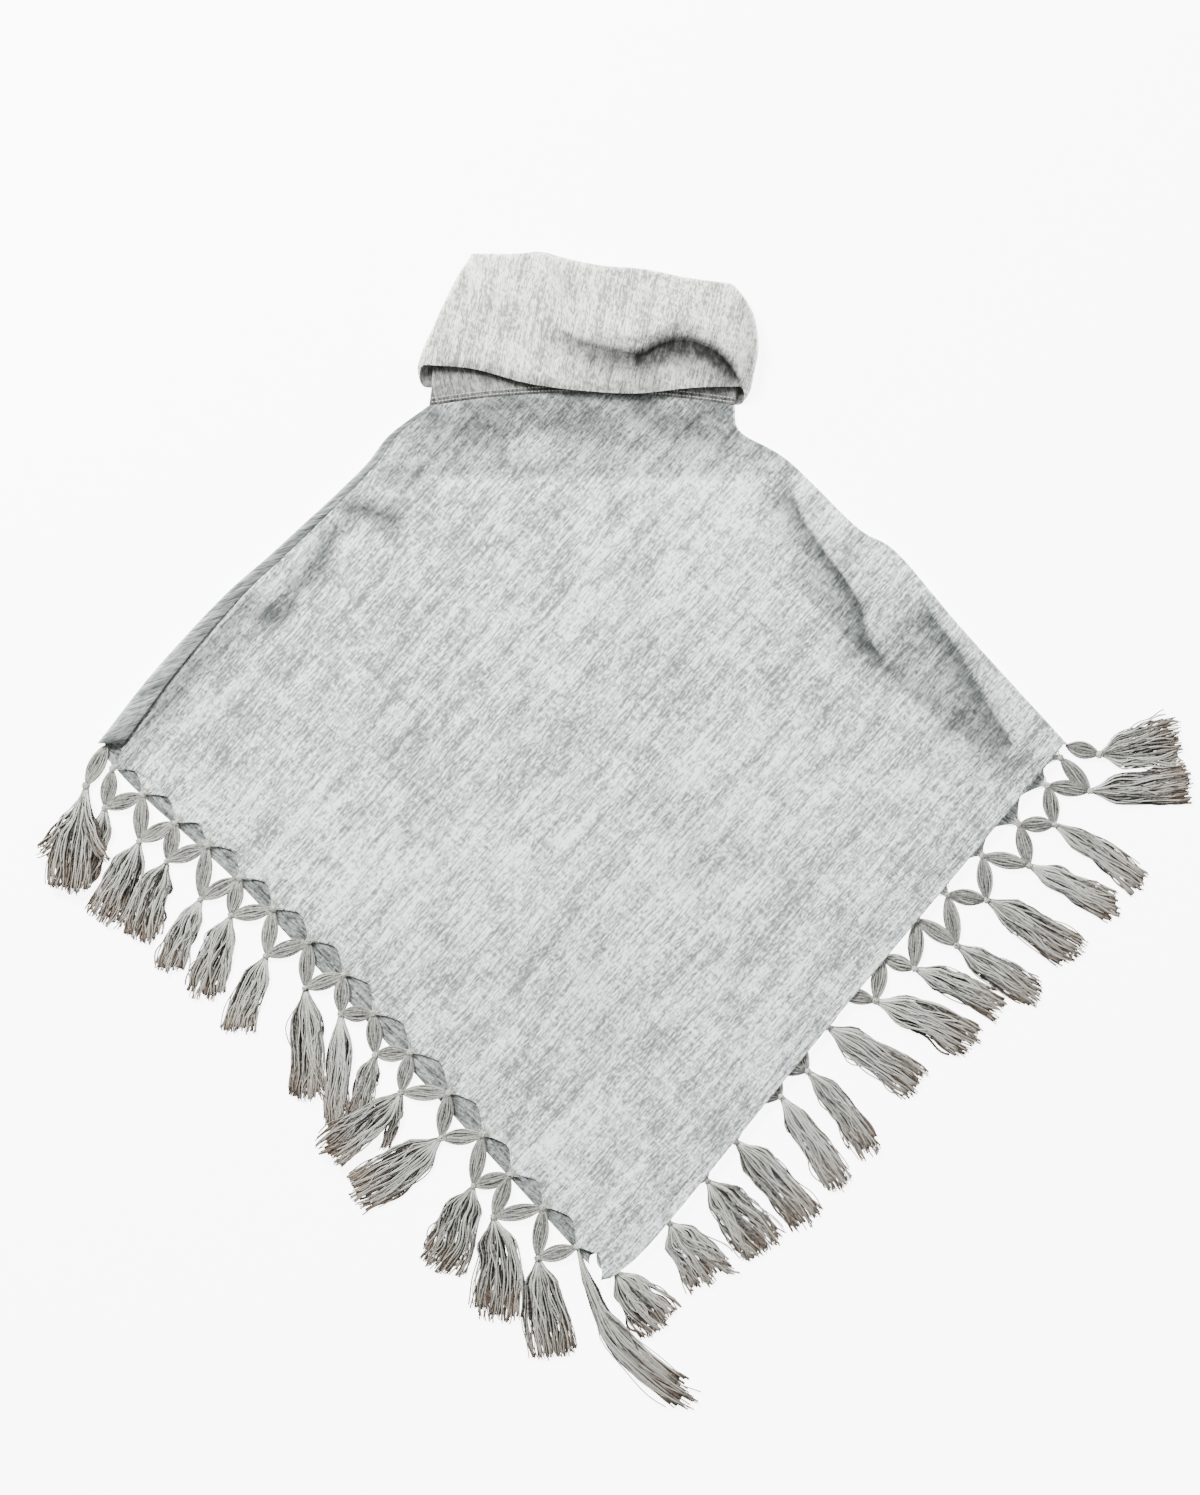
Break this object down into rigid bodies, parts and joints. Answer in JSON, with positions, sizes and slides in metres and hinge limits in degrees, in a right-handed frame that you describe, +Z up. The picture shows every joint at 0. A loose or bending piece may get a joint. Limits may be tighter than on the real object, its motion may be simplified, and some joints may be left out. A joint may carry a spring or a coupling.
{
  "type": "woven poncho pullover",
  "caption": "Woven poncho pullover laid flat, worn over the head, with a turned-down cowl collar and a knotted tassel fringe along one lower edge of each panel.",
  "frame": {"origin": "middle of the laid garment's box, on the surface it lies on", "axes": "+Z up out of the surface, +Y towards the collar, +X towards the wearer's left side, which is at the right as the front is seen"},
  "size_m": [1.0404, 1.0342, 0.0187],
  "materials": {
    "cloth": "woven, matt",
    "collar_cloth": "woven, matt",
    "fringe_yarn": "loose yarn, matt"
  },
  "bodies": {
    "root": {"back_panel": "cloth", "front_panel": "cloth", "collar": "collar_cloth", "front_net": "fringe_yarn", "back_net": "fringe_yarn", "front_tassel_01": "fringe_yarn", "front_tassel_02": "fringe_yarn", "front_tassel_03": "fringe_yarn", "front_tassel_04": "fringe_yarn", "front_tassel_05": "fringe_yarn", "front_tassel_06": "fringe_yarn", "front_tassel_07": "fringe_yarn", "front_tassel_08": "fringe_yarn", "front_tassel_09": "fringe_yarn", "front_tassel_10": "fringe_yarn", "front_tassel_11": "fringe_yarn", "front_tassel_12": "fringe_yarn", "front_tassel_13": "fringe_yarn", "front_tassel_14": "fringe_yarn", "front_tassel_15": "fringe_yarn", "front_tassel_16": "fringe_yarn", "back_tassel_01": "fringe_yarn", "back_tassel_02": "fringe_yarn", "back_tassel_03": "fringe_yarn", "back_tassel_04": "fringe_yarn", "back_tassel_05": "fringe_yarn", "back_tassel_06": "fringe_yarn", "back_tassel_07": "fringe_yarn", "back_tassel_08": "fringe_yarn", "back_tassel_09": "fringe_yarn", "back_tassel_10": "fringe_yarn", "back_tassel_11": "fringe_yarn", "back_tassel_12": "fringe_yarn", "back_tassel_13": "fringe_yarn", "back_tassel_14": "fringe_yarn", "back_tassel_15": "fringe_yarn"}
  },
  "joints": []
}
